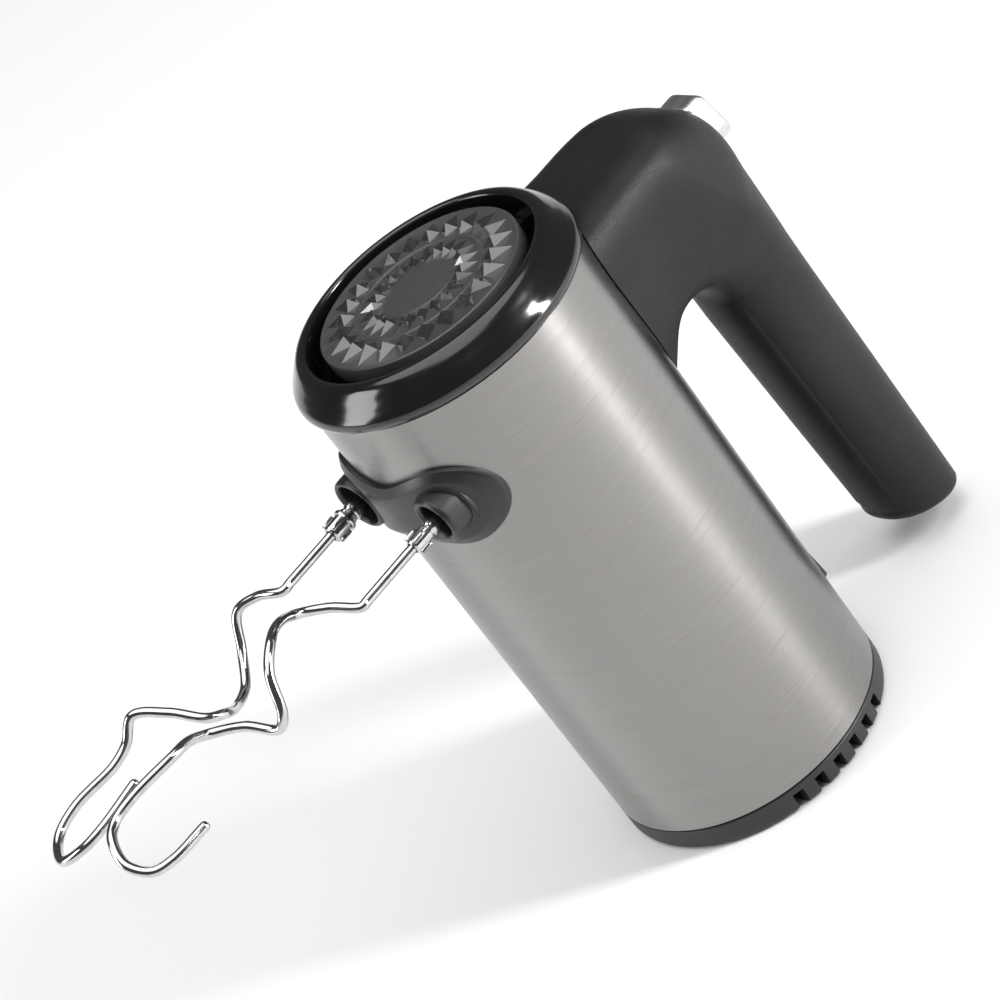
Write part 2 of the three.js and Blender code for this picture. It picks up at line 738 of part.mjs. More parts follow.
const commutatorLow = commutatorHigh - 14;
add(
  "commutator",
  tube("z", commutatorRadius, shaftRadius + gap, commutatorLow, commutatorHigh),
  copper,
);
const fanLow = coreHigh + 9;
const fanRadius = 30;
const fanBlades = Array.from({ length: 9 }, (_, i) => {
  const blade = block([6, -0.7, 1.4], [fanRadius - 1, 0.7, 8]);
  return blade.rotate([0, 0, (360 * i) / 9]);
});
const fan = cut(
  join(
    bar("z", fanRadius, 0, 1.5, [0, 0], 36),
    bar("z", 7, 0, 9, [0, 0], 20),
    ...fanBlades,
  ),
  bar("z", shaftRadius + gap, -5, 20, [0, 0], 20),
);
add("cooling_fan", fan, nylon, [0, 0, fanLow]);

// Stator: a laminated yoke with two curved poles, and a coil round the neck of each pole.
const yokeInner = statorRadius - 3.6;
const poleInner = rotorRadius + 0.8;
const shoeOuter = poleInner + 2.4;
const neckHalf = 9;
const poleBand = tube("z", yokeInner + 1, poleInner, coreLow + 1, coreHigh - 1, [0, 0], 40);
const necks = block([-40, -neckHalf, 0], [40, neckHalf, 200]);
const shoeBand = tube("z", shoeOuter, poleInner, coreLow + 1, coreHigh - 1, [0, 0], 40);
const shoes = [-1, 1].map((side) => {
  const wedge = [[0, 0], ...arc([0, 0], [40, 40], -42, 42, 4)];
  const turnedWedge = wedge.map(([x, y]) => [side * x, side * y]);
  return shoeBand.intersect(prism("z", turnedWedge, 0, 200));
});
const stator = join(
  tube("z", statorRadius, yokeInner, coreLow + 1, coreHigh - 1, [0, 0], 40),
  poleBand.intersect(necks),
  ...shoes,
);
add("stator_core", stator, plainSteel);
const coilInner = neckHalf + gap;
const coilOuter = coilInner + 4.2;
const coilEnd = 4.2;
const coilFoot = shoeOuter + gap;
[1, -1].forEach((side) => {
  const [near, far] = [side * coilFoot, side * (coilFoot + 4.2)];
  const [x0, x1] = [Math.min(near, far), Math.max(near, far)];
  const coil = cut(
    block([x0, -coilOuter, coreLow - coilEnd], [x1, coilOuter, coreHigh + coilEnd]),
    block([x0 - 1, -coilInner, coreLow + 0.7], [x1 + 1, coilInner, coreHigh - 0.7]),
  );
  add(side > 0 ? "field_coil_upper" : "field_coil_lower", coil, copper);
});

// Motor frames: a round front plate and a rear bridge, tied through by two long bolts.
const boltY = statorRadius + 3.4;
const bearingOuter = 6.5;
const bearingLength = 5;
const frontPlateLow = fanLow + 11;
const frontPlateHigh = frontPlateLow + 3;
const rearPlateLow = commutatorLow - 10;
const rearPlateHigh = rearPlateLow + 3;
const bolts = [-boltY, boltY];
const frameHoles = (low, high) => [
  bar("z", bearingOuter + gap, low - 1, high + 1),
  ...bolts.map((y) => bar("z", 2 + gap, low - 1, high + 1, [0, y], 12)),
];
const frontVents = [-1, 1].flatMap((a) =>
  [-1, 1].map((b) => bar("z", 6.5, 0, 200, [a * 20, b * 20], 10)),
);
add(
  "motor_front_frame",
  cut(
    bar("z", spigotRadius - 2, frontPlateLow, frontPlateHigh, [0, 0], 36),
    ...frameHoles(frontPlateLow, frontPlateHigh),
    ...frontVents,
  ),
  plainSteel,
);
add(
  "motor_rear_frame",
  cut(
    block([-9, -boltY - 4, rearPlateLow], [9, boltY + 4, rearPlateHigh]),
    ...frameHoles(rearPlateLow, rearPlateHigh),
  ),
  plainSteel,
);
bolts.forEach((y, i) => {
  const bolt = join(
    bar("z", 2, rearPlateLow - 1, frontPlateHigh + 2, [0, y], 12),
    bar("z", 3.6, rearPlateLow - 3, rearPlateLow - gap, [0, y], 6),
  );
  add(i ? "motor_bolt_right" : "motor_bolt_left", bolt, plainSteel);
});
const shaftFit = 0.08;
const bearing = (name, low, radius) =>
  add(name, tube("z", bearingOuter, radius + shaftFit, 0, bearingLength), bronze, [
    0,
    0,
    low,
  ]);
bearing("rear_bearing", rearPlateLow - 1, shaftRadius);
bearing("middle_bearing", frontPlateLow - 1, shaftRadius);
bearing("front_bearing", wormHigh + 5, neckRadius);
const holderLow = wormHigh + 6;
add(
  "front_bearing_holder",
  cut(
    block([baseHigh + gap, -9, holderLow], [bridgeLow - gap, 9, holderLow + 3]),
    bar("z", bearingOuter + gap, holderLow - 1, holderLow + 4),
  ),
  plainSteel,
);

// Brush gear: a square tube each side of the commutator, with a carbon brush inside.
const brushLow = commutatorLow + 4;
[-1, 1].forEach((side) => {
  const name = side > 0 ? "right" : "left";
  const span = (from, to) => [Math.min(side * from, side * to), Math.max(side * from, side * to)];
  const [b0, b1] = span(commutatorRadius + gap, 22);
  const [h0, h1] = span(commutatorRadius + 2, 25);
  add(`carbon_brush_${name}`, block([-2.5, b0, brushLow], [2.5, b1, brushLow + 6]), carbon);
  const holder = cut(
    block([-4, h0, brushLow - 1.5], [4, h1, brushLow + 7.5]),
    block([-2.5 - gap, h0 - 1, brushLow - gap], [2.5 + gap, h1 + 1, brushLow + 6 + gap]),
  );
  add(`brush_holder_${name}`, holder, bronze);
});

// Dough hooks: a bent wire in a ferrule whose upper end is the shank that the spindle holds.
const shankFoot = -57;
// The line of each wire from its first bend to its cut end, as [x, y, z] from the spindle axis.
const hookLines = {
  left: [
    [-79, 0, 0],
    [-83.5, 7.5, 3],
    [-90.5, 12, 7],
    [-98, 6.5, 12.5],
    [-106, -1.5, 15],
    [-113, -5.5, 11.5],
    [-118.5, -8.5, 2],
    [-121, -6, -1.5],
    [-124.5, 4, 1],
    [-131, 12.5, 3],
    [-137, 11, 7],
    [-143.5, 9.5, 8.5],
    [-158.5, 10.5, 9],
    [-167, 9.5, 8.5],
    [-171.5, 6, 7.5],
    [-174.5, 0.5, 3],
    [-172, -5, -1],
    [-166.5, -7.5, -2],
    [-154, -7, -3],
  ],
  right: [
    [-80, 0, 0],
    [-84, 8, 0.5],
    [-89.5, 13.5, -1],
    [-96, 12.5, -9.5],
    [-104, 7, -15],
    [-111.5, 1, -13.5],
    [-118, -7, -7.5],
    [-122.5, -6.5, -4.5],
    [-127, 2.5, 0.5],
    [-133, 11.5, 3.5],
    [-139, 12.5, -1.5],
    [-145.5, 13, -3.5],
    [-160.5, 13.5, -3],
    [-169, 13, -4.5],
    [-174, 9, -5.5],
    [-176.5, 2, -5],
    [-172, -5, -3],
    [-165, -8, -1.5],
    [-150.5, -8, 0],
  ],
};
sockets.forEach((s) => {
  const place = [0, s.y, socketZ];
  const bend = hookLines[s.side].map((point) => new THREE.Vector3(...point));
  const straight = [-30, -50, -66, -74.5].map((x) => new THREE.Vector3(x, 0, 0));
  const path = new THREE.CatmullRomCurve3([...straight, ...bend], false, "centripetal");
  const wire = new THREE.ExtrudeGeometry(roundSection(wireRadius, 7), {
    steps: 52,
    extrudePath: path,
    bevelEnabled: false,
  });
  add(`hook_wire_${s.side}`, solid(wire), chrome, place);
  const lugs = [0, 1].map((i) =>
    block(
      [shankFoot, i ? -0.6 : -3.1, i ? -3.1 : -0.6],
      [shankFoot + 4, i ? 0.6 : 3.1, i ? 3.1 : 0.6],
    ),
  );
  const ferrule = cut(
    join(bar("x", ferruleRadius, shankFoot, hookTip, [0, 0], 20), ...lugs),
    bar("x", wireRadius + gap, shankFoot - 5, -29.5, [0, 0], 16),
  );
  add(`hook_shank_${s.side}`, ferrule, chrome, place);
});

export default mixer;
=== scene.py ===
import json

import bpy
import numpy as np
from mathutils import Matrix


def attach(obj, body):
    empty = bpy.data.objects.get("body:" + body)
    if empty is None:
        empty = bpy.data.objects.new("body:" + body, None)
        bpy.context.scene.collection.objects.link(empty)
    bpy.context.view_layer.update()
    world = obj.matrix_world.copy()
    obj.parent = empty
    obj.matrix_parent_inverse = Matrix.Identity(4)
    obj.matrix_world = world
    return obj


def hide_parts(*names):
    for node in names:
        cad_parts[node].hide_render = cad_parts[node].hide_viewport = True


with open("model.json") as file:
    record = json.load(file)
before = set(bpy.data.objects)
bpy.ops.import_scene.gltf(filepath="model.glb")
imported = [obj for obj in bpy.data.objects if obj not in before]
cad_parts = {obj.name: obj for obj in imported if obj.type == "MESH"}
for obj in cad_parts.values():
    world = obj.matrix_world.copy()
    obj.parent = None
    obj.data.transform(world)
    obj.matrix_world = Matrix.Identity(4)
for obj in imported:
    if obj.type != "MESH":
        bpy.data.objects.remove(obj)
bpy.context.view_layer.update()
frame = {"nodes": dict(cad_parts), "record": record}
nodes = frame["nodes"]

# ---------------------------------------------------------------------------
# Body sleeve. A sheet of stainless steel rolled into a can, brushed round its
# girth before rolling, and pierced for the two sockets, the handle and the cord.
# It is held between the spigots of the two end caps.

MM = 0.001


def shell(rows, wrap=True, ring=False, start=None, end=None):
    """Vertices and faces of a grid of points: rows[i, j] is row i's point j. Faces join each row
    to the next. wrap joins the last point of a row to its first; ring joins the last row to the
    first; start and end are pole points that close the first and last row with a fan."""
    rows = np.asarray(rows, float)
    n, m = rows.shape[:2]
    index = np.arange(n * m).reshape(n, m)
    if ring:
        index = np.vstack([index, index[:1]])
    if wrap:
        index = np.hstack([index, index[:, :1]])
    a, b, c, d = index[:-1, :-1], index[:-1, 1:], index[1:, 1:], index[1:, :-1]
    faces = np.stack([a, b, c, d], -1).reshape(-1, 4).tolist()
    points = [rows.reshape(-1, 3)]
    count = n * m
    for pole, row, turn in ((start, index[0], 1), (end, index[-1], -1)):
        if pole is not None:
            points.append(np.asarray(pole, float).reshape(1, 3))
            fan = np.stack([np.full(len(row) - 1, count), row[1:], row[:-1]], -1)
            faces += fan[:, ::turn].tolist()
            count += 1
    return np.vstack(points), faces


def outward(points, faces):
    """The faces, all turned round if the volume they enclose comes out negative."""
    tris = np.array([(f[0], f[k], f[k + 1]) for f in faces for k in range(1, len(f) - 1)])
    a, b, c = points[tris[:, 0]], points[tris[:, 1]], points[tris[:, 2]]
    if np.einsum("ij,ij->i", a, np.cross(b, c)).sum() < 0:
        return [f[::-1] for f in faces]
    return faces


def piece(name, shells, material, crease=32):
    """One object from closed shells in millimetres, shaded smooth except at edges over crease degrees."""
    points, faces, count = [], [], 0
    for p, f in shells:
        points.append(p)
        faces += [[i + count for i in face] for face in outward(p, f)]
        count += len(p)
    mesh = bpy.data.meshes.new(name)
    mesh.from_pydata((np.vstack(points) * MM).tolist(), [], faces)
    mesh.shade_smooth()
    mesh.set_sharp_from_angle(angle=np.radians(crease))
    mesh.materials.append(material)
    made = bpy.data.objects.new(name, mesh)
    bpy.context.scene.collection.objects.link(made)
    return made


def carve(body, *cutters, crease=32):
    """body with the cutters' shapes taken out of it; the cutters are removed."""
    for cutter in cutters:
        cut = body.modifiers.new("cut", "BOOLEAN")
        cut.object = cutter
        cut.operation = "DIFFERENCE"
        cut.solver = "EXACT"
    bpy.context.view_layer.update()
    graph = bpy.context.evaluated_depsgraph_get()
    mesh = bpy.data.meshes.new_from_object(body.evaluated_get(graph))
    body.modifiers.clear()
    body.data = mesh
    mesh.shade_smooth()
    mesh.set_sharp_from_angle(angle=np.radians(crease))
    for cutter in cutters:
        bpy.data.objects.remove(cutter)
    return body


def lathe(profile, sides, axis="z", place=(0, 0, 0), closed=True):
    """A profile of (radius, height) turned about an axis: the point at angle t is radius*(cos t, sin t)
    across the axis and height along it. closed joins the profile's ends round the axis."""
    profile = np.asarray(profile, float)
    t = np.linspace(0, 2 * np.pi, sides, endpoint=False)
    r, h = profile[:, :1], profile[:, 1:]
    u, v, w = r * np.cos(t), r * np.sin(t), h + 0 * t
    grid = np.stack([w, u, v] if axis == "x" else [u, v, w], -1) + np.array(place, float)
    if closed:
        return shell(grid, ring=True)
    tip = [[h[k, 0], 0, 0] if axis == "x" else [0, 0, h[k, 0]] for k in (0, -1)]
    return shell(grid, start=np.add(tip[0], place), end=np.add(tip[1], place))


def curve_through(points, count):
    """A smooth line through points: each span is a cubic whose slopes at its ends are the mean slope
    of its neighbours, by distance along the line. Gives count points spaced evenly."""
    points = np.asarray(points, float)
    knots = np.r_[0, np.cumsum(np.linalg.norm(np.diff(points, axis=0), axis=1) ** 0.5)]
    slopes = np.gradient(points, knots, axis=0)
    t = np.linspace(0, knots[-1], count * 4)
    k = np.clip(np.searchsorted(knots, t, side="right") - 1, 0, len(knots) - 2)
    span = (knots[k + 1] - knots[k])[:, None]
    s = (t - knots[k])[:, None] / span
    line = (
        (2 * s**3 - 3 * s**2 + 1) * points[k]
        + (s**3 - 2 * s**2 + s) * span * slopes[k]
        + (3 * s**2 - 2 * s**3) * points[k + 1]
        + (s**3 - s**2) * span * slopes[k + 1]
    )
    along = np.r_[0, np.cumsum(np.linalg.norm(np.diff(line, axis=0), axis=1))]
    even = np.linspace(0, along[-1], count)
    return np.stack([np.interp(even, along, line[:, i]) for i in range(line.shape[1])], -1)


def finish(name, colour, roughness, metallic=0.0):
    """A new material: its nodes, its links and its shader."""
    made = bpy.data.materials.new(name)
    made.use_nodes = True
    shader = made.node_tree.nodes["Principled BSDF"]
    shader.inputs["Base Color"].default_value = (*colour, 1)
    shader.inputs["Roughness"].default_value = roughness
    shader.inputs["Metallic"].default_value = metallic
    return made, shader


def noise(made, scale, detail=3.0, stretch=(1, 1, 1), coordinates="Object"):
    """A noise pattern on the piece's own coordinates, stretched along its axes: returns its value."""
    tree = made.node_tree
    place = tree.nodes.new("ShaderNodeTexCoord")
    turn = tree.nodes.new("ShaderNodeMapping")
    turn.inputs["Scale"].default_value = stretch
    pattern = tree.nodes.new("ShaderNodeTexNoise")
    pattern.inputs["Scale"].default_value = scale
    pattern.inputs["Detail"].default_value = detail
    tree.links.new(place.outputs[coordinates], turn.inputs["Vector"])
    tree.links.new(turn.outputs["Vector"], pattern.inputs["Vector"])
    return pattern.outputs["Fac"]


def shade(made, value, socket, low, high, start=0.3, stop=0.7):
    """Drives a shader's socket between two values, or two colours, by a pattern."""
    tree = made.node_tree
    if isinstance(low, tuple):
        ramp = tree.nodes.new("ShaderNodeValToRGB")
        ramp.color_ramp.elements[0].position = start
        ramp.color_ramp.elements[1].position = stop
        ramp.color_ramp.elements[0].color = (*low, 1)
        ramp.color_ramp.elements[1].color = (*high, 1)
        tree.links.new(value, ramp.inputs["Fac"])
        tree.links.new(ramp.outputs["Color"], socket)
    else:
        spread = tree.nodes.new("ShaderNodeMapRange")
        spread.inputs["From Min"].default_value = start
        spread.inputs["From Max"].default_value = stop
        spread.inputs["To Min"].default_value = low
        spread.inputs["To Max"].default_value = high
        tree.links.new(value, spread.inputs["Value"])
        tree.links.new(spread.outputs["Result"], socket)


def relief(made, shader, value, strength, depth):
    """Raises and lowers the surface by a pattern: depth is in metres."""
    bump = made.node_tree.nodes.new("ShaderNodeBump")
    bump.inputs["Strength"].default_value = strength
    bump.inputs["Distance"].default_value = depth
    made.node_tree.links.new(value, bump.inputs["Height"])
    made.node_tree.links.new(bump.outputs["Normal"], shader.inputs["Normal"])


def around_map(made_object, along_first=True):
    """A UV map in millimetres round and along the body: the angle from the handle side times the
    radius, and the height. A face that spans the seam is moved to one side of it."""
    mesh = made_object.data
    corner = np.zeros(len(mesh.loops), np.int32)
    mesh.loops.foreach_get("vertex_index", corner)
    at = np.zeros(len(mesh.vertices) * 3)
    mesh.vertices.foreach_get("co", at)
    at = at.reshape(-1, 3)[corner] / MM
    angle = np.arctan2(at[:, 1], at[:, 0]) % (2 * np.pi)
    first = np.zeros(len(mesh.polygons), np.int32)
    size = np.zeros(len(mesh.polygons), np.int32)
    mesh.polygons.foreach_get("loop_start", first)
    mesh.polygons.foreach_get("loop_total", size)
    owner = np.repeat(np.arange(len(first)), size)
    top = np.zeros(len(first))
    np.maximum.at(top, owner, angle)
    angle = np.where((top[owner] > 4.7) & (angle < 1.6), angle + 2 * np.pi, angle)
    pair = [at[:, 2], angle * 45.0]
    layer = mesh.uv_layers.new(name="Around")
    layer.data.foreach_set("uv", np.stack(pair if along_first else pair[::-1], -1).ravel())


steel, steel_shader = finish("brushed_stainless", (0.285, 0.277, 0.268), 0.3, 1.0)
steel_shader.inputs["Anisotropic"].default_value = 0.75
lines = noise(steel, 1.0, 3.0, (3.6, 0.045, 1), "UV")
dark_steel, light_steel = (0.265, 0.257, 0.249), (0.305, 0.297, 0.288)
shade(steel, lines, steel_shader.inputs["Base Color"], dark_steel, light_steel, 0.25, 0.75)
broad = noise(steel, 1.0, 3.0, (0.9, 0.012, 1), "UV")
shade(steel, broad, steel_shader.inputs["Roughness"], 0.27, 0.31)
relief(steel, steel_shader, lines, 0.012, 0.00003)
across = steel.node_tree.nodes.new("ShaderNodeTangent")
across.direction_type = "UV_MAP"
across.uv_map = "Around"
steel.node_tree.links.new(across.outputs["Tangent"], steel_shader.inputs["Tangent"])

SLEEVE_RADIUS, SLEEVE_WALL, SLEEVE_LOW, SLEEVE_TOP = 45.0, 0.8, 8.8, 175.1
edge = 0.15
outer = [(SLEEVE_RADIUS, z) for z in np.linspace(SLEEVE_LOW + edge, SLEEVE_TOP - edge, 40)]
sleeve = piece(
    "steel_sleeve",
    [
        lathe(
            [(SLEEVE_RADIUS - edge, SLEEVE_LOW), *outer, (SLEEVE_RADIUS - edge, SLEEVE_TOP)]
            + [(SLEEVE_RADIUS - SLEEVE_WALL, SLEEVE_TOP), (SLEEVE_RADIUS - SLEEVE_WALL, SLEEVE_LOW)],
            320,
        )
    ],
    steel,
)
SOCKET_Z, SOCKET_Y = 145.0, 19.0
SOCKETS = {"left": (-SOCKET_Y, 7.9, 5.5), "right": (SOCKET_Y, 8.8, 6.9)}


def plug(radius, low, high, y, z, sides=96):
    """A round bar along X, for cutting a hole."""
    profile = [(radius, low), (radius, high)]
    return piece("plug", [lathe(profile, sides, "x", (0, y, z), closed=False)], steel)


def brick(low, high):
    """A straight-sided block between two corners, for cutting."""
    (x0, y0, z0), (x1, y1, z1) = low, high
    loop = np.array([[x0, y0], [x1, y0], [x1, y1], [x0, y1]], float)
    rows = [np.column_stack([loop, np.full(4, z)]) for z in (z0, z1)]
    middle = loop.mean(0)
    return piece("brick", [shell(rows, start=[*middle, z0], end=[*middle, z1])], steel)


carve(
    sleeve,
    *(plug(boss + 0.3, -60, -20, y, SOCKET_Z) for y, boss, bore in SOCKETS.values()),
    brick((30, -6, 0), (60, 6, 34)),
)
around_map(sleeve)
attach(sleeve, "mixer_body")
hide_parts("body_sleeve")

# ---------------------------------------------------------------------------
# Rear cap. A matt black polypropylene moulding pressed into the sleeve's rear
# end: a flat heel that the mixer stands on, with rounded edge and six air slots
# across the rim on each side.

cap_black, shader = finish("matt_black_moulding", (0.016, 0.016, 0.017), 0.5)
fine = noise(cap_black, 2600, 2.0)
mottle = noise(cap_black, 60)
shade(cap_black, mottle, shader.inputs["Base Color"], (0.013, 0.013, 0.014), (0.021, 0.021, 0.022))
shade(cap_black, fine, shader.inputs["Roughness"], 0.42, 0.58)
relief(cap_black, shader, fine, 0.25, 0.00008)

turn = np.radians(np.linspace(-90, 0, 9))
heel = [(8 * k, 0) for k in (1, 2, 3, 4, 5)]
heel += [(42.4 + 2.6 * np.cos(a), 2.6 + 2.6 * np.sin(a)) for a in turn]
heel += [(45, 5), (45, 7.9), (44.8, 8.2), (44.1, 8.3), (43.9, 8.5)]
heel += [(43.9, 15.5), (41.9, 15.5), (41.9, 2.5), (8, 2.5)]
rear_cap = piece("heel_cap", [lathe(heel, 256, closed=False)], cap_black)
slots = [
    brick((x - 1.7, min(s * 16, s * 50), -1), (x + 1.7, max(s * 16, s * 50), 6.2))
    for s in (-1, 1)
    for x in (np.arange(6) - 2.5) * 7.5
]
carve(rear_cap, *slots, brick((37.4, -6, -1), (60, 6, 30)), crease=25)
soften = rear_cap.modifiers.new("edges", "BEVEL")
soften.width, soften.segments, soften.limit_method = 0.35 * MM, 2, "ANGLE"
soften.angle_limit = np.radians(40)
soften.harden_normals = False
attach(rear_cap, "mixer_body")
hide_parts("rear_cap")

# ---------------------------------------------------------------------------
# Front bezel. A high-gloss black ring with a full round nose. It plugs into the
# sleeve's front end and leaves an air gap round the front cap.

gloss_black, shader = finish("polished_black_moulding", (0.006, 0.006, 0.006), 0.13)
shader.inputs["Coat Weight"].default_value = 0.35
shader.inputs["Coat Roughness"].default_value = 0.06
shade(gloss_black, noise(gloss_black, 90), shader.inputs["Roughness"], 0.1, 0.19)
relief(gloss_black, shader, noise(gloss_black, 240, 2.0), 0.05, 0.0001)

nose = curve_through(
    [(45.3, 175.5), (46.3, 176.2), (46.9, 177.7), (46.5, 179.5), (45.1, 181.6), (43.5, 183.6)]
    + [(42.1, 185.3), (40.9, 186.5), (39.6, 187.15), (38.4, 187.25), (37.6, 186.8), (37.4, 185.9)],
    56,
).tolist()
bezel = piece(
    "nose_ring",
    [lathe([(43.9, 168.4), (43.9, 175.3), *nose, (37.4, 178), (41.9, 178), (41.9, 168.4)], 256)],
    gloss_black,
)
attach(bezel, "mixer_body")
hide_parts("front_bezel")

# ---------------------------------------------------------------------------
# Front cap. A satin black disc held clear of the ring by a spider. Its face has a
# plain middle, a thin ridge, and two rings of 24 four-sided points moulded on it.

satin, shader = finish("satin_black_moulding", (0.05, 0.05, 0.051), 0.32)
dust = noise(satin, 1800, 3.0)
shade(satin, dust, shader.inputs["Base Color"], (0.044, 0.044, 0.045), (0.06, 0.06, 0.061))
shade(satin, noise(satin, 140), shader.inputs["Roughness"], 0.24, 0.34)
relief(satin, shader, dust, 0.08, 0.00004)

FACE = 187.0
disc = [(10.9, -0.02), (11.3, -0.1), (11.7, -0.3), (19.7, -0.3), (20.1, 0.05), (20.8, 0.05), (21.2, -0.3)]
disc += [(30.9, -0.3), (31.6, 0.0), (32.1, 0.0), (32.5, -0.3), (32.6, -0.7), (32.6, -4.8), (10, -4.8)]
POINTS = 24


def point_ring(inner, widest, outer, height):
    """A ring of kite-shaped pyramids: each has a corner at the inner and the outer radius, two at the
    widest radius half a step to each side, an apex over the middle, and a foot hidden in the disc."""
    made = []
    for k in range(POINTS):
        t = 2 * np.pi * (k + 0.5) / POINTS
        half = 0.96 * np.pi / POINTS
        corner = [(outer, t), (widest, t + half), (inner, t), (widest, t - half)]
        loop = [[r * np.cos(a), r * np.sin(a), FACE - 0.32] for r, a in corner]
        apex = [widest * np.cos(t), widest * np.sin(t), FACE - 0.3 + height]
        foot = [widest * np.cos(t), widest * np.sin(t), FACE - 1.5]
        made.append(shell([loop], start=foot, end=apex))
    return made


cap = piece(
    "grille_cap", [lathe([(r, FACE + h) for r, h in disc], 192, closed=False)], satin
)
facet, shader = finish("polished_facets", (0.016, 0.016, 0.017), 0.16)
shader.inputs["Specular IOR Level"].default_value = 1.0
shader.inputs["Coat Weight"].default_value = 1.0
shader.inputs["Coat Roughness"].default_value = 0.08
shade(facet, noise(facet, 300), shader.inputs["Roughness"], 0.12, 0.22)
shade(facet, noise(facet, 1200), shader.inputs["Base Color"], (0.012, 0.012, 0.013), (0.022, 0.022, 0.023))
points = piece(
    "grille_points",
    point_ring(21.3, 24.6, 30.7, 2.3) + point_ring(11.8, 14.6, 19.6, 1.7),
    facet,
    crease=12,
)
for made in (cap, points):
    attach(made, "mixer_body")
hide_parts("front_cap")

# ---------------------------------------------------------------------------
# Socket plate. A satin black moulding bent round the sleeve over both sockets: a
# two-lobed plate with a broad bevel, and a round-lipped boss for each hook.

plate_black, shader = finish("satin_socket_moulding", (0.011, 0.011, 0.012), 0.36)
grain = noise(plate_black, 2400, 2.0)
mottle = noise(plate_black, 80)
shade(plate_black, mottle, shader.inputs["Base Color"], (0.009, 0.009, 0.01), (0.016, 0.016, 0.017))
shade(plate_black, grain, shader.inputs["Roughness"], 0.3, 0.42)
relief(plate_black, shader, grain, 0.12, 0.00005)

u = np.linspace(0, 2 * np.pi, 200, endpoint=False)
wide = 34 * np.sign(np.cos(u)) * np.abs(np.cos(u)) ** 0.8
lobe = np.clip(np.abs(wide) / 20.7, 0, 1)
tall = np.where(
    np.abs(wide) < 20.7,
    9.6 + 3.7 * lobe * lobe * (3 - 2 * lobe),
    np.sqrt(np.clip(13.3**2 - (np.abs(wide) - 20.7) ** 2, 0, None)),
) * np.where(np.sin(u) < 0, -1, 1)
outline = np.stack([wide, tall], -1)
outline = np.vstack([outline, outline[:1]])
step = np.r_[0, np.cumsum(np.linalg.norm(np.diff(outline, axis=0), axis=1))]
even = np.linspace(0, step[-1], 200, endpoint=False)
outline = np.stack([np.interp(even, step, outline[:, i]) for i in (0, 1)], -1)
tangent = np.roll(outline, -1, 0) - np.roll(outline, 1, 0)
inward = np.stack([-tangent[:, 1], tangent[:, 0]], -1) / np.linalg.norm(tangent, axis=1, keepdims=True)


def plate_row(inset, height, scale=1.0):
    """The outline moved inwards and shrunk, laid on the cylinder that stands height above the sleeve."""
    y, z = ((outline + inset * inward) * scale).T
    return np.stack([-np.sqrt((45.3 + height) ** 2 - y**2), y, SOCKET_Z + z], -1)


rows = [plate_row(3, -0.2, 0.4), plate_row(3, -0.2, 0.8), plate_row(0, -0.2), plate_row(0, 0.9)]
rows += [plate_row(0.15, 1.15), plate_row(0.45, 1.3), plate_row(1.6, 1.9), plate_row(2.7, 2.4)]
rows += [plate_row(3.0, 2.5), plate_row(3.4, 2.52), plate_row(3.4, 2.52, 0.85)]
rows += [plate_row(3.4, 2.52, k) for k in (0.7, 0.5, 0.3, 0.12)]
plate = piece(
    "socket_face",
    [shell(rows, start=[-45.1, 0, SOCKET_Z], end=[-47.82, 0, SOCKET_Z])],
    plate_black,
)
carve(plate, *(plug(bore + 0.4, -60, -20, y, SOCKET_Z) for y, boss, bore in SOCKETS.values()))
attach(plate, "mixer_body")
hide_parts("socket_plate")

lips = []
for y, boss, bore in SOCKETS.values():
    mouth, mid = -47.3 if y < 0 else -46.9, (boss + bore) / 2
    half = (boss - bore) / 2
    over = np.radians(np.linspace(0, 180, 13))
    crown = [(mid + half * np.cos(a), mouth + 1.5 - 1.5 * np.sin(a)) for a in over]
    foot = 1.6 - 1.6 * np.sin(np.radians(np.linspace(0, 90, 7)))
    root = [(boss + f, -37.8 - 1.6 + 1.6 * (1 - np.cos(np.arcsin(1 - f / 1.6)))) for f in foot]
    lip = [(boss + 1.6, -34), *root, *crown, (bore, -30), (boss, -30)]
    lips.append(lathe(lip, 128, "x", (0, y, SOCKET_Z)))
bosses = piece("socket_lips", lips, plate_black)
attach(bosses, "mixer_body")

# ---------------------------------------------------------------------------
# Handle. One soft-touch black moulding: a broad strap that stands off the sleeve
# behind the ring, turns a wide corner, and runs back as a round, open-ended grip.
# A well in its corner takes the knob. Two screws inside the sleeve hold it.

soft_touch, shader = finish("soft_touch_black", (0.013, 0.013, 0.014), 0.5)
shader.inputs["Specular IOR Level"].default_value = 0.26
pores = noise(soft_touch, 1500, 4.0)
mottle = noise(soft_touch, 45)
shade(soft_touch, mottle, shader.inputs["Base Color"], (0.007, 0.007, 0.0075), (0.012, 0.012, 0.0125))
shade(soft_touch, pores, shader.inputs["Roughness"], 0.42, 0.58)
relief(soft_touch, shader, pores, 0.3, 0.00009)

STRAP_FRONT = 173.5
THROAT = np.array([59.0, 112.1])
CORNER = np.array([78.5, 146.1])


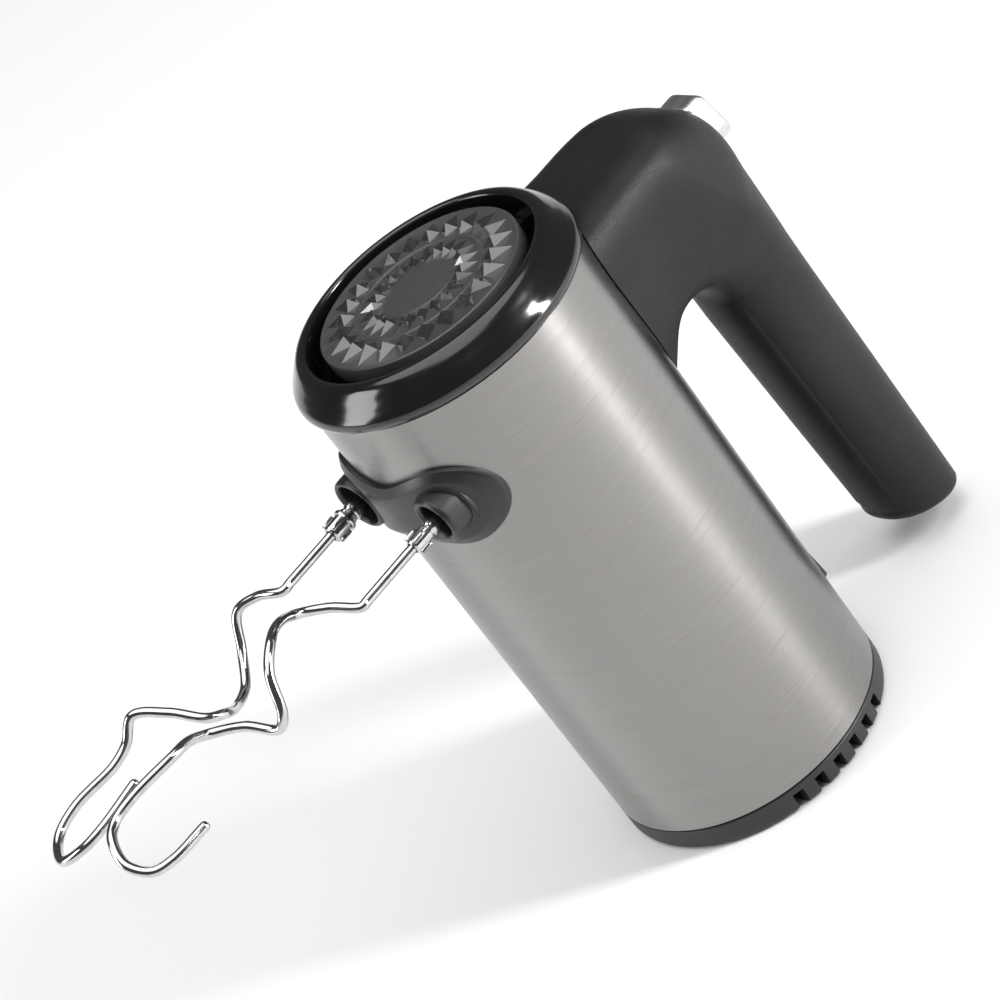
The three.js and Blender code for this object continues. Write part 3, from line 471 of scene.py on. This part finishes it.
def handle_spine(strap=26, bend=150, grip=120):
    """The inner and outer edges of the handle in the XZ plane, paired section by section. The inner
    edge goes half way round the throat's arc and down the grip's underside; the outer edge goes out
    along the strap's front, round an elliptical corner and down the grip's top."""
    a = np.radians(np.linspace(180, 90, strap, endpoint=False))
    inner = [THROAT + 12.5 * np.stack([np.cos(a), np.sin(a)], -1)]
    k = np.linspace(0, 1, strap, endpoint=False)
    outer = [np.stack([46.5 + 13.5 * k, STRAP_FRONT + 0 * k], -1)]
    k = np.linspace(0, 1, bend, endpoint=False)
    a = np.radians(90 * (1 - k))
    inner.append(THROAT + 12.5 * np.stack([np.cos(a), np.sin(a)], -1))
    q = np.radians(np.linspace(90, 0, 60))
    corner = CORNER + np.stack([25 * np.cos(q), 28 * np.sin(q)], -1)
    rim = np.vstack([[60, STRAP_FRONT], corner, [104.25, 112.1]])
    run = np.r_[0, np.cumsum(np.linalg.norm(np.diff(rim, axis=0), axis=1))]
    outer.append(np.stack([np.interp(k * run[-1], run, rim[:, i]) for i in (0, 1)], -1))
    k = np.linspace(0, 1, grip)[:, None]
    inner.append(np.array([71.5, 112.1]) * (1 - k) + np.array([77.7, 16.6]) * k)
    outer.append(np.array([104.25, 112.1]) * (1 - k) + np.array([106.5, 8.4]) * k)
    return np.vstack(inner), np.vstack(outer)


def half_width(x, z):
    """Half the handle's width: broad at the strap's front, easing to the grip, splayed where the strap
    meets the sleeve, and drawn in round the corner towards its top."""
    heights = [4, 14, 60, 107, 119, 131, 143, 156, 168, 175]
    plan = np.interp(z, heights, [14.2, 14.9, 15.4, 15.6, 16.6, 18.9, 21.6, 23.6, 24.4, 24.6])
    reaches = [40, 72, 80, 88, 95, 101, 104, 107]
    top = np.interp(x, reaches, [27, 24.8, 23, 20.6, 18.2, 16.4, 15.8, 15.6])
    splay = 4.6 * np.clip((60 - x) / 15, 0, 1) ** 2 * np.interp(z, [108, 125, 140], [0, 0.4, 1])
    return np.minimum(plan, top) + splay


def handle_skin(sides=192):
    """The handle's surface. At section i and angle f, with s = (1 - |cos f|^(2/n) sign(cos f)) / 2, the
    point lies s of the way from the inner to the outer edge and half_width * |sin f|^(2/n) sign(sin f)
    to the side. n falls from a squared strap to a round grip, sooner on the outer half, where cos f is
    negative. The first sections follow the sleeve."""
    inner, outer = handle_spine()
    count = len(inner)
    k = np.arange(count)
    f = np.linspace(0, 2 * np.pi, sides, endpoint=False) + np.pi / sides
    under = np.interp(k, [0, 60, 120, 176, 296], [6.5, 6.0, 4.0, 2.5, 2.25])[:, None]
    over = np.interp(k, [0, 40, 90, 130, 176, 296], [5.6, 4.9, 3.3, 2.4, 2.15, 2.15])[:, None]
    n = 2 / np.where(np.cos(f) < 0, over, under)
    s = (1 - np.sign(np.cos(f)) * np.abs(np.cos(f)) ** n) / 2
    side = np.sign(np.sin(f)) * np.abs(np.sin(f)) ** n
    x = inner[:, :1] + (outer[:, :1] - inner[:, :1]) * s
    z = inner[:, 1:] + (outer[:, 1:] - inner[:, 1:]) * s
    blur = np.array([half_width(x[i], z[i]) for i in range(count)])
    kernel = np.exp(-0.5 * (np.arange(-12, 13) / 6.0) ** 2)
    padded = np.vstack([blur[:1].repeat(12, 0), blur, blur[-1:].repeat(12, 0)])
    blur = sum(w * padded[i : i + count] for i, w in enumerate(kernel)) / kernel.sum()
    y = blur * side
    sleeve_x = np.sqrt(np.clip(45.35**2 - y**2, 1, None))
    hold = np.clip(1 - k[:, None] / 22, 0, 1)
    hold = hold * hold * (3 - 2 * hold)
    x = x * (1 - hold) + (sleeve_x + 0.6 * k[:, None]) * hold
    x = np.maximum(x, sleeve_x)
    return np.stack([x, y, z], -1)


skin = handle_skin()
last, middle = skin[-1], skin[-1].mean(0)
down = np.array([-0.268, 0, -0.963])
q = np.radians(np.linspace(0, 90, 12))[1:, None, None]
reach = np.linalg.norm(last - middle, axis=1)[None, :, None]
dome = middle + (last - middle) * (1 - 3.8 * (1 - np.cos(q)) / reach) + 3.6 * np.sin(q) * down
flat = dome[-1].mean(0) + (dome[-1] - dome[-1].mean(0)) * np.array([0.6, 0.25])[:, None, None] + 0.5 * down
rows = np.concatenate([skin, dome, flat])
root = skin[0].mean(0)
seat = np.stack([root + (skin[0] - root) * 0.5])
handle = piece(
    "soft_handle",
    [shell(np.concatenate([seat, rows]), start=root, end=flat[-1].mean(0))],
    soft_touch,
    crease=45,
)


def pillow(centre, half, power, tilt=0.0, sides=64):
    """A rounded box: cos and sin of the two angles of a ball, each raised to 2/power with its sign kept,
    times the half sizes. tilt lowers X as Z falls, by that much per millimetre."""
    a = np.linspace(-np.pi / 2, np.pi / 2, sides // 2 + 2)[1:-1, None]
    b = np.linspace(0, 2 * np.pi, sides, endpoint=False)
    trig = np.stack(np.broadcast_arrays(np.sin(a), np.cos(a), np.cos(b), np.sin(b)))
    rise, girth, across, along = np.sign(trig) * np.abs(trig) ** (2 / power)
    ball = np.stack([rise, girth * across, girth * along], -1) * half
    ball[..., 0] += tilt * ball[..., 2]
    ends = [np.array([s * half[0], 0, 0]) + centre for s in (-1, 1)]
    return shell(ball + centre, start=ends[0], end=ends[1])


well = piece("well", [pillow(np.array([106.0, 0, 150.2]), np.array([8.2, 7.85, 14.1]), 9)], soft_touch)
carve(handle, well, crease=45)
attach(handle, "mixer_body")
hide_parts("handle_shell")

# Underside cover. A long strip of the same moulding snapped into the grip's underside, a hair proud of
# it, so its seam shows as a thin line.

part = skin[177:-4]
near = np.r_[np.arange(part.shape[1] - 22, part.shape[1]), np.arange(22)]
strip = part[:, near]
out = strip - part.mean(1)[:, None, :]
out[..., 1] *= 0.4
out /= np.linalg.norm(out, axis=2, keepdims=True)
lift = 0.32 * np.clip(1 - np.abs(np.linspace(-1, 1, len(near))) ** 14, 0, 1)[:, None]
lift = lift * np.clip(np.arange(len(part)) / 10, 0, 1)[:, None, None]
sections = np.concatenate([strip + lift * out, (strip - 0.8 * out)[:, ::-1]], axis=1)
cover = piece(
    "grip_cover",
    [shell(sections, start=sections[0].mean(0), end=sections[-1].mean(0))],
    soft_touch,
)
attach(cover, "mixer_body")
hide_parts("handle_under_cover")

# Speed marks. Plain raised bars moulded on the grip's ridge behind the knob.

marks = []
for k in range(6):
    z = 116 - 5.2 * k
    place = np.array([104.2 + (112 - z) * 0.0216, 0, z])
    marks.append(pillow(place, np.array([0.55, 3.2 - 0.3 * k, 0.55]), 3.5, sides=24))
ticks = piece("speed_marks", marks, soft_touch)
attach(ticks, "mixer_body")

# ---------------------------------------------------------------------------
# Knob. A brushed aluminium cap on a nylon stem. It slides back along the handle to
# set the speed, and is pressed to push the hooks out.

bright, shader = finish("brushed_aluminium", (0.6, 0.6, 0.6), 0.32, 1.0)
hair = noise(bright, 1.0, 3.0, (40, 3200, 260))
shade(bright, hair, shader.inputs["Base Color"], (0.5, 0.5, 0.5), (0.68, 0.68, 0.675))
shade(bright, hair, shader.inputs["Roughness"], 0.26, 0.4)
relief(bright, shader, hair, 0.12, 0.00004)

knob = piece(
    "knob_cap",
    [pillow(np.array([102.9, 0, 155.65]), np.array([4.0, 7.4, 8.15]), 7, tilt=-0.2, sides=128)],
    bright,
)
stem = piece("knob_stem", [pillow(np.array([93.5, 0, 155.65]), np.array([7.4, 5.5, 5.3]), 12)], plate_black)
for made in (knob, stem):
    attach(made, "knob")
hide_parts("speed_knob")

# ---------------------------------------------------------------------------
# Cord hood. A low tongue of satin black moulding clipped through the sleeve, under
# which a cord leaves; the gloss insert below it lines the sleeve's notch.

k = np.linspace(0, 1, 60)[:, None]
f = np.linspace(0, 2 * np.pi, 48, endpoint=False)
width = 5.7 * np.sqrt(np.clip(1 - (1 - k) ** 3, 0.004, 1))
rise = 0.35 + 4.6 * k**1.15
arch = np.abs(np.sin(f)) ** 0.45 * np.sign(np.sin(f))
grid = np.stack(
    [
        np.sqrt(45.3**2 - (width * np.cos(f)) ** 2) + np.where(arch > 0, rise * arch, 1.6 * arch * k),
        width * np.sign(np.cos(f)) * np.abs(np.cos(f)) ** 0.45,
        62 - 41.7 * k + 0 * f,
    ],
    -1,
)
hood = piece("cord_tongue", [shell(grid, start=grid[0].mean(0), end=grid[-1].mean(0))], plate_black)
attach(hood, "mixer_body")
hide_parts("cord_hood")

# ---------------------------------------------------------------------------
# Dough hooks. Each is one bent length of chromed steel wire, brazed into a ferrule
# whose shank the spindle holds; the far hook's ferrule is the fatter, so each fits
# only its own socket.

chrome, shader = finish("polished_chrome", (0.52, 0.52, 0.525), 0.09, 1.0)
shade(chrome, noise(chrome, 160), shader.inputs["Roughness"], 0.06, 0.14)
shade(chrome, noise(chrome, 420, 2.0), shader.inputs["Base Color"], (0.47, 0.47, 0.475), (0.57, 0.57, 0.575))
relief(chrome, shader, noise(chrome, 500, 2.0), 0.05, 0.00006)

HOOK_LINES = {
    "left": [
        [-79, 0, 0],
        [-83.5, 7.5, 3],
        [-90.5, 12, 7],
        [-98, 6.5, 12.5],
        [-106, -1.5, 15],
        [-113, -5.5, 11.5],
        [-118.5, -8.5, 2],
        [-121, -6, -1.5],
        [-124.5, 4, 1],
        [-131, 12.5, 3],
        [-137, 11, 7],
        [-143.5, 9.5, 8.5],
        [-158.5, 10.5, 9],
        [-167, 9.5, 8.5],
        [-171.5, 6, 7.5],
        [-174.5, 0.5, 3],
        [-172, -5, -1],
        [-166.5, -7.5, -2],
        [-154, -7, -3],
    ],
    "right": [
        [-80, 0, 0],
        [-84, 8, 0.5],
        [-89.5, 13.5, -1],
        [-96, 12.5, -9.5],
        [-104, 7, -15],
        [-111.5, 1, -13.5],
        [-118, -7, -7.5],
        [-122.5, -6.5, -4.5],
        [-127, 2.5, 0.5],
        [-133, 11.5, 3.5],
        [-139, 12.5, -1.5],
        [-145.5, 13, -3.5],
        [-160.5, 13.5, -3],
        [-169, 13, -4.5],
        [-174, 9, -5.5],
        [-176.5, 2, -5],
        [-172, -5, -3],
        [-165, -8, -1.5],
        [-150.5, -8, 0],
    ],
}
WIRE = 1.5


def tube(line, radius, sides, guide):
    """A round wire along a line: at each point a circle of that radius in the plane across the line,
    turned by one fixed guide direction that the line never follows. The ends are rounded over."""
    along = np.gradient(line, axis=0)
    along /= np.linalg.norm(along, axis=1, keepdims=True)
    first = np.cross(along, guide)
    first /= np.linalg.norm(first, axis=1, keepdims=True)
    second = np.cross(along, first)
    t = np.linspace(0, 2 * np.pi, sides, endpoint=False)[None, :, None]
    ring = np.cos(t) * first[:, None] + np.sin(t) * second[:, None]
    body = line[:, None] + radius * ring
    q = np.radians(np.linspace(15, 75, 5))[:, None, None]
    tail = line[-1] + radius * (np.cos(q) * ring[-1:] + np.sin(q) * along[-1])
    return shell(np.concatenate([body, tail]), start=line[0], end=line[-1] + radius * along[-1])


for side, (y, boss, bore) in SOCKETS.items():
    bends = np.array(HOOK_LINES[side]) + [0, y, SOCKET_Z]
    straight = [[x, y, SOCKET_Z] for x in (-30, -50, -66, -73, -77)]
    line = curve_through(np.vstack([straight, bends]), 520)
    spread = bends - bends.mean(0)
    guide = np.linalg.svd(spread, full_matrices=False)[2][2]
    wire = piece(f"hook_bend_{side}", [tube(line, WIRE, 20, guide)], chrome)
    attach(wire, f"hook_{side}")
    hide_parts(f"hook_wire_{side}")

    thick = 2.45 if side == "left" else 2.95
    foot = -57.0 if side == "left" else -58.6
    bar = [(thick - 0.5, -8), (thick, -8.6), (thick, -49.5), (thick - 0.35, -49.9), (thick - 0.35, -50.5)]
    bar += [(thick, -50.9), (thick, foot + 0.5), (thick - 0.4, foot + 0.1), (1.75, foot), (1.6, foot + 2)]
    place = (0, y, SOCKET_Z)
    parts = [lathe(bar, 48, "x", place, closed=False)]
    if side == "right":
        collar = [(2.9, -51.6), (3.6, -51.9), (3.75, -52.5), (3.6, -53.1), (2.9, -53.4)]
        parts.append(lathe(collar, 48, "x", place))
    lug_place = np.array([foot + 2.6, 0, thick + 0.2])
    lug, faces = pillow(lug_place, np.array([2.1, 0.62, 0.75]), 6, sides=24)
    for k in range(4):
        a = np.pi / 2 * k + np.pi / 4
        turned = lug @ np.array([[1, 0, 0], [0, np.cos(a), np.sin(a)], [0, -np.sin(a), np.cos(a)]])
        parts.append((turned + [0, y, SOCKET_Z], faces))
    shank = piece(f"hook_ferrule_{side}", parts, chrome)
    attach(shank, f"hook_{side}")
    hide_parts(f"hook_shank_{side}")

# ---------------------------------------------------------------------------
# Pieces inside. The steel, bronze, copper, nylon and board parts keep their own
# machined or moulded shapes; each gets the finish of what it is made of.

cut_steel, shader = finish("turned_steel", (0.42, 0.43, 0.44), 0.4, 1.0)
shade(cut_steel, noise(cut_steel, 900, 4.0, (1, 1, 0.06)), shader.inputs["Roughness"], 0.28, 0.55)
shade(cut_steel, noise(cut_steel, 120), shader.inputs["Base Color"], (0.36, 0.37, 0.38), (0.48, 0.48, 0.49))
bronze, shader = finish("sintered_bronze", (0.42, 0.25, 0.11), 0.45, 1.0)
shade(bronze, noise(bronze, 1400, 4.0), shader.inputs["Base Color"], (0.33, 0.19, 0.08), (0.47, 0.29, 0.13))
relief(bronze, shader, noise(bronze, 1800, 3.0), 0.2, 0.00005)
copper, shader = finish("enamelled_copper", (0.5, 0.16, 0.05), 0.3, 1.0)
turns = noise(copper, 1.0, 2.0, (300, 300, 2600))
shade(copper, turns, shader.inputs["Base Color"], (0.3, 0.08, 0.025), (0.62, 0.22, 0.07))
nylon, shader = finish("natural_nylon", (0.7, 0.67, 0.58), 0.5)
shader.inputs["Subsurface Weight"].default_value = 0.1
shade(nylon, noise(nylon, 70), shader.inputs["Base Color"], (0.62, 0.59, 0.5), (0.74, 0.71, 0.63))
shade(nylon, noise(nylon, 900), shader.inputs["Roughness"], 0.4, 0.6)
carbon, shader = finish("pressed_carbon", (0.014, 0.014, 0.015), 0.6)
grit = noise(carbon, 1600, 4.0)
shade(carbon, grit, shader.inputs["Base Color"], (0.009, 0.009, 0.01), (0.028, 0.028, 0.03))
board, shader = finish("lacquered_board", (0.02, 0.09, 0.04), 0.3)
weave = noise(board, 1.0, 3.0, (400, 2200, 400))
shade(board, weave, shader.inputs["Base Color"], (0.014, 0.07, 0.03), (0.035, 0.14, 0.06))

SLOT_FINISH = {
    "brushed_steel": steel,
    "gloss_black": gloss_black,
    "satin_black": plate_black,
    "soft_black": soft_touch,
    "knob_silver": bright,
    "hook_chrome": chrome,
    "plain_steel": cut_steel,
    "bearing_bronze": bronze,
    "winding_copper": copper,
    "gear_nylon": nylon,
    "black_moulding": carbon,
    "board_green": board,
}
for entry in frame["record"]["subparts"]:
    mesh = nodes[entry["node"]].data
    mesh.materials.clear()
    mesh.materials.append(SLOT_FINISH[entry["material_slot"]])

# ---------------------------------------------------------------------------
# Studio. A pale floor, a narrow soft box that lays the long light down the steel, a
# wide even light straight overhead and a softer box on the hooks' side.

REACH = 9e3
square = np.array([[-REACH, -REACH], [REACH, -REACH], [REACH, REACH], [-REACH, REACH]])
slab = [np.column_stack([square, np.full(4, z)]) for z in (-1.0, 0.0)]
pale = finish("floor_white", (0.86, 0.86, 0.86), 0.7)[0]
floor = piece("floor", [shell(slab, start=[0, 0, -1.0], end=[0, 0, 0.0])], pale)


def soft_box(name, azimuth, height, distance, size, power, aim=(0, 0, 0.1)):
    """A rectangular light at an azimuth from +X towards +Y, facing the aim point."""
    data = bpy.data.lights.new(name, "AREA")
    data.shape, data.size, data.size_y, data.energy = "RECTANGLE", *size, power
    made = bpy.data.objects.new(name, data)
    a = np.radians(azimuth)
    place = np.array([distance * np.cos(a), distance * np.sin(a), height])
    back = (place - np.array(aim)) / np.linalg.norm(place - np.array(aim))
    side = np.cross([0, 0, 1.0] if abs(back[2]) < 0.99 else [0, 1.0, 0], back)
    side /= np.linalg.norm(side)
    turn = np.eye(4)
    turn[:3, :4] = np.stack([side, np.cross(back, side), back, place], -1)
    made.matrix_world = Matrix(turn.tolist())
    bpy.context.scene.collection.objects.link(made)


soft_box("strip_light", -56, 0.5, 1.5, (0.24, 1.5), 42)
overhead = bpy.data.lights.new("overhead_light", "SUN")
overhead.energy, overhead.angle = 2.3, np.radians(70)
overhead_light = bpy.data.objects.new("overhead_light", overhead)
bpy.context.scene.collection.objects.link(overhead_light)
soft_box("left_light", 150, 0.8, 1.6, (0.6, 1.2), 14)
world = bpy.data.worlds.new("studio")
bpy.context.scene.world = world
world.use_nodes = True
world.node_tree.nodes["Background"].inputs["Color"].default_value = (0.93, 0.93, 0.94, 1)
world.node_tree.nodes["Background"].inputs["Strength"].default_value = 0.1
bpy.context.scene.view_settings.view_transform = "Standard"

lens = bpy.data.cameras.new("camera")
lens.lens, lens.sensor_width = 128.75, 36.0
camera = bpy.data.objects.new("camera", lens)
pose = np.eye(4)
pose[:3, 0] = (0.6076, -0.5914, -0.5301)
pose[:3, 1] = (0.7125, 0.1110, 0.6928)
pose[:3, 2] = (-0.3509, -0.7987, 0.4889)
pose[:3, 3] = (-0.37348, -0.80600, 0.61553)
camera.matrix_world = Matrix(pose.tolist())
bpy.context.scene.collection.objects.link(camera)
bpy.context.scene.camera = camera
